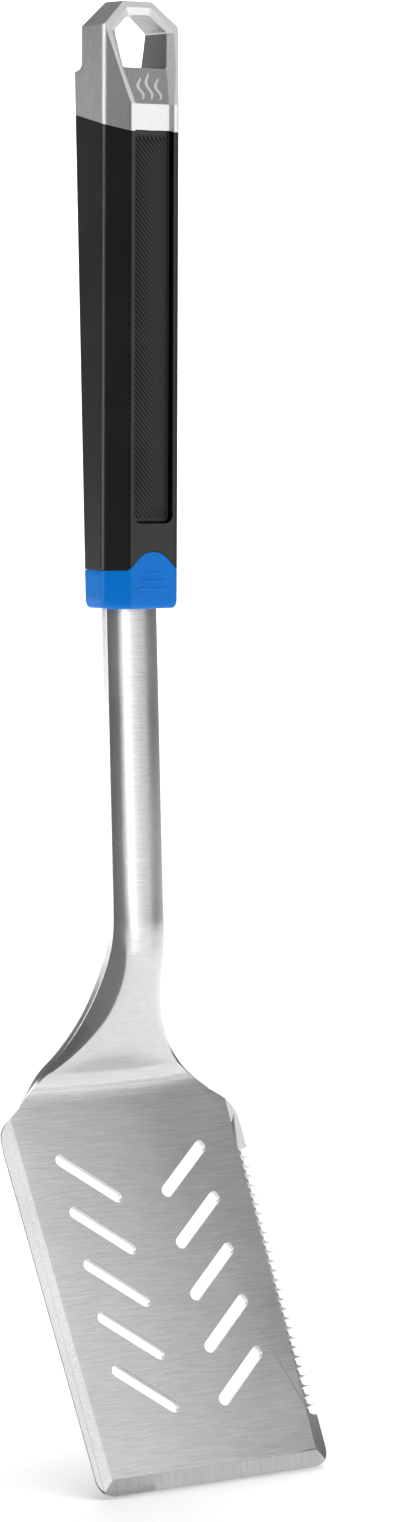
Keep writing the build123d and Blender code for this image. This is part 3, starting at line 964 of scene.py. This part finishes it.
class SPATULA_OT_cap(bpy.types.Operator):
    """Cast end cap with its hanging eye and an etched heat mark"""

    bl_idname = "spatula.cap"
    bl_label = "End cap"

    def execute(self, context):
        cast = steel("cast_steel", (0.64, 0.64, 0.63), (0.53, 0.53, 0.53), 0.37, (1400, 1400, 380), 0.1)
        etched = plastic("etched_face", (0.72, 0.72, 0.72), (0.66, 0.66, 0.66), 0.6, 1800, 0.05)
        # near-white base colour for the rim, the recess's walls and its foot: a painted highlight
        rim = steel("cast_rim_painted_highlight", (0.95, 0.95, 0.94), (0.9, 0.9, 0.9), 0.5, (1400, 1400, 380), 0.1)
        # darker base colour inside the eye: painted shade
        hollow = steel("cast_eye_wall_painted_shade", (0.46, 0.46, 0.46), (0.36, 0.36, 0.36), 0.34, (1400, 380, 1400), 0.1)
        finish_piece(make_cap(settings().cap_edge), [cast, rim, hollow], ["end_cap"])
        finish_piece(make_heat_mark(), [etched], [])
        return {"FINISHED"}


class SPATULA_OT_handle(bpy.types.Operator):
    """Moulded sleeve and its ribbed grip insert"""

    bl_idname = "spatula.handle"
    bl_label = "Handle"

    def execute(self, context):
        satin = plastic("satin_black", (0.006, 0.006, 0.0062), (0.004, 0.004, 0.0042), 0.26, 3000, 0.03)
        rubber = plastic("ribbed_black", (0.022, 0.022, 0.022), (0.014, 0.014, 0.014), 0.45, 2500, 0.06)
        finish_piece(make_sleeve(), [satin], ["handle_sleeve"])
        finish_piece(make_insert(settings().rib_pitch, settings().rib_height), [rubber], ["grip_insert"])
        return {"FINISHED"}


class SPATULA_OT_collar(bpy.types.Operator):
    """Arched collar between handle and shaft"""

    bl_idname = "spatula.collar"
    bl_label = "Collar"

    def execute(self, context):
        blue = plastic("gloss_blue", (0.0, 0.21, 0.74), (0.0, 0.19, 0.69), 0.26, 1500, 0.02, specular=0.16)
        finish_piece(make_collar(), [blue], ["collar"])
        finish_piece(make_ridges(), [blue], [])
        return {"FINISHED"}


class SPATULA_OT_sheet(bpy.types.Operator):
    """Formed sheet: blade, neck, shaft and tang"""

    bl_idname = "spatula.sheet"
    bl_label = "Blade and shaft"

    def execute(self, context):
        brushed = steel("brushed_sheet", (0.72, 0.72, 0.71), (0.57, 0.57, 0.57), 0.22, (110, 3000, 3000), 0.05)
        side = steel("brushed_side", (0.72, 0.72, 0.71), (0.58, 0.58, 0.58), 0.26, (1800, 1800, 90), 0.08)
        # ground foot: real cross grain, with a darker base colour as painted shade
        ground = steel("ground_grain_and_shade", (0.52, 0.52, 0.52), (0.4, 0.4, 0.4), 0.3, (1800, 120, 120), 0.1)
        finish_piece(make_sheet(), [brushed, side, ground], ["blade_and_shaft"])
        return {"FINISHED"}


class SPATULA_OT_fixings(bpy.types.Operator):
    """Finishes for the parts that the handle hides"""

    bl_idname = "spatula.fixings"
    bl_label = "Hidden fixings"

    def execute(self, context):
        zinc = steel("zinc_plate", (0.72, 0.72, 0.7), (0.6, 0.6, 0.6), 0.3, (700, 700, 700), 0.05)
        nylon = plastic("black_nylon", (0.05, 0.05, 0.05), (0.03, 0.03, 0.03), 0.5, 1800, 0.05)
        for name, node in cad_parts.items():
            node.data.materials.clear()
            node.data.materials.append(nylon if name == "tang_block" else zinc)
        return {"FINISHED"}


def around(azimuth, elevation, distance, middle=MIDDLE):
    """Point seen from the middle at that azimuth (0 = front, positive to +X) and elevation."""
    a, e = math.radians(azimuth), math.radians(elevation)
    return (middle[0] + distance * math.sin(a) * math.cos(e), middle[1] - distance * math.cos(a) * math.cos(e),
            middle[2] + distance * math.sin(e))


def soft_box(name, place, aim, width, height, radiance):
    """Rectangular light whose face has the given radiance; the camera doesn't see it."""
    data = bpy.data.lights.new(name, "AREA")
    data.shape, data.size, data.size_y = "RECTANGLE", width, height
    data.energy = radiance * math.pi * width * height * settings().exposure
    light = bpy.data.objects.new(name, data)
    bpy.context.scene.collection.objects.link(light)
    light.location = place
    light.rotation_euler = (Vector(aim) - Vector(place)).to_track_quat("-Z", "Y").to_euler()
    light.visible_camera = False
    return light


def stage_sheet(name, verts, faces, material):
    """Studio surface in metres, which isn't part of the object."""
    mesh = bpy.data.meshes.new(name)
    mesh.from_pydata(verts, [], faces)
    sheet = bpy.data.objects.new(name, mesh)
    bpy.context.scene.collection.objects.link(sheet)
    sheet.data.materials.append(material)
    return sheet


def make_sweep(floor_z):
    """Pale floor that curves up into a wall, far enough back to be walked around."""
    steps = 16
    rows = [(FLOOR_FRONT, floor_z), (BEND_Y, floor_z)]
    for i in range(1, steps + 1):
        turn = math.radians(90 * i / steps)
        rows.append((BEND_Y + SWEEP_R * math.sin(turn), floor_z + SWEEP_R * (1 - math.cos(turn))))
    rows.append((BEND_Y + SWEEP_R, floor_z + SWEEP_RISE))
    verts = [(x, y, z) for y, z in rows for x in (-SWEEP_HALF, SWEEP_HALF)]
    faces = [(2 * i, 2 * i + 1, 2 * i + 3, 2 * i + 2) for i in range(len(rows) - 1)]
    pale = matte("pale_floor", (0.9, 0.9, 0.9), (0.93, 0.93, 0.93), 0.9, 2)
    stage_sheet("sweep", verts, faces, pale).data.shade_smooth()


def make_flag(floor_z):
    """Grey card just above the floor, seen only as a dark band in the polished neck."""
    outline = ((-0.045, -0.02), (-1.8, -0.02), (-1.8, -1.8), (0.02, -1.8), (0.02, -0.12))
    verts = [(x, y, floor_z + 0.002) for x, y in outline]
    grey = matte("grey_card", (0.2, 0.2, 0.2), (0.22, 0.22, 0.22), 0.95, 3)
    flag = stage_sheet("flag", verts, [(0, 1, 2, 3, 4)], grey)
    flag.visible_camera = flag.visible_diffuse = flag.visible_shadow = False


def light_studio():
    """Even pale surroundings, washes for floor and wall, and soft boxes that model the metal."""
    world = bpy.data.worlds.new("studio")
    bpy.context.scene.world = world
    world.use_nodes = True
    background = world.node_tree.nodes["Background"]
    background.inputs["Color"].default_value = (1, 1, 1, 1)
    background.inputs["Strength"].default_value = 0.16

    soft_box("overhead", (0.3, 0.2, 2.6), (0.3, 0.2, 0), 3.4, 2.6, 2.6)
    soft_box("backdrop_wash", (4.6, 5.2, 2.3), (4.6, 6.8, -0.2), 3.6, 1.4, 7.0)
    floor_wash = soft_box("floor_wash", (2.2, 2.9, 3.0), (2.2, 2.9, 0), 3.6, 3.4, 4.2)
    floor_wash.visible_glossy = False
    soft_box("key", around(33, 2, 1.5), MIDDLE, 0.94, 0.75, 0.62)
    soft_box("key_inner", around(25, 2, 1.45), MIDDLE, 0.54, 0.75, 0.3)
    soft_box("key_edge", around(19, 2, 1.4), MIDDLE, 0.2, 0.75, 1.8)
    soft_box("upper_front", around(26, 34, 1.2, LOW_MIDDLE), LOW_MIDDLE, 0.6, 0.5, 1.0)
    soft_box("upper_left", around(-6, 36, 1.2, LOW_MIDDLE), LOW_MIDDLE, 0.45, 0.5, 1.2)
    soft_box("upper_right", around(84, 28, 1.2, LOW_MIDDLE), LOW_MIDDLE, 0.4, 0.5, 1.1)
    soft_box("left_strip", around(-108, 4, 1.4), MIDDLE, 0.42, 1.3, 3.2)
    soft_box("left_back_low", around(-146, 0, 1.0, (0, 0, -0.42)), (0, 0, -0.32), 0.5, 0.36, 1.5)


def place_camera():
    """Long lens at the front left, level with the handle, looking slightly down and rolled a little."""
    scene = bpy.context.scene
    camera = bpy.data.objects.new("camera", bpy.data.cameras.new("camera"))
    scene.collection.objects.link(camera)
    scene.camera = camera
    azimuth, pitch, roll = (math.radians(v) for v in (VIEW_AZIMUTH, VIEW_PITCH, VIEW_ROLL))
    level = math.cos(pitch)
    forward = Vector((math.sin(azimuth) * level, math.cos(azimuth) * level, -math.sin(pitch)))
    right = forward.cross(Vector((0, 0, 1))).normalized()
    up = right.cross(forward)
    right, up = right * math.cos(roll) + up * math.sin(roll), up * math.cos(roll) - right * math.sin(roll)
    place = Vector((0, 0, VIEW_AIM_Z)) + right * VIEW_SHIFT - forward * VIEW_DISTANCE
    camera.matrix_world = Matrix.Translation(place) @ Matrix((right, up, -forward)).transposed().to_4x4()
    camera.data.sensor_width, camera.data.lens = SENSOR, LENS
    camera.data.clip_start, camera.data.clip_end = 0.05, 30.0


class SPATULA_OT_stage(bpy.types.Operator):
    """Pale floor, studio lights and the camera"""

    bl_idname = "spatula.stage"
    bl_label = "Stage"

    def execute(self, context):
        floor_z = CAD_BOX[0].z - 0.0005
        make_sweep(floor_z)
        light_studio()
        make_flag(floor_z)
        place_camera()
        context.scene.view_settings.view_transform = "Standard"
        return {"FINISHED"}


class SPATULA_PT_panel(bpy.types.Panel):
    """Settings and one button for each group of pieces"""

    bl_label = "Grill Spatula"
    bl_idname = "SPATULA_PT_panel"
    bl_space_type = "VIEW_3D"
    bl_region_type = "UI"
    bl_category = "Spatula"

    def draw(self, context):
        for name in SpatulaSettings.__annotations__:
            self.layout.prop(context.scene.spatula, name)
        for operator in OPERATORS:
            self.layout.operator(operator.bl_idname)


OPERATORS = (SPATULA_OT_fixings, SPATULA_OT_cap, SPATULA_OT_handle, SPATULA_OT_collar, SPATULA_OT_sheet,
             SPATULA_OT_stage)


def register():
    for cls in (SpatulaSettings, *OPERATORS, SPATULA_PT_panel):
        bpy.utils.register_class(cls)
    bpy.types.Scene.spatula = bpy.props.PointerProperty(type=SpatulaSettings)


def unregister():
    del bpy.types.Scene.spatula
    for cls in (SPATULA_PT_panel, *reversed(OPERATORS), SpatulaSettings):
        bpy.utils.unregister_class(cls)


def main():
    """Builds every piece in order."""
    register()
    for operator in OPERATORS:
        group, name = operator.bl_idname.split(".")
        getattr(getattr(bpy.ops, group), name)()


if __name__ == "__main__":
    main()
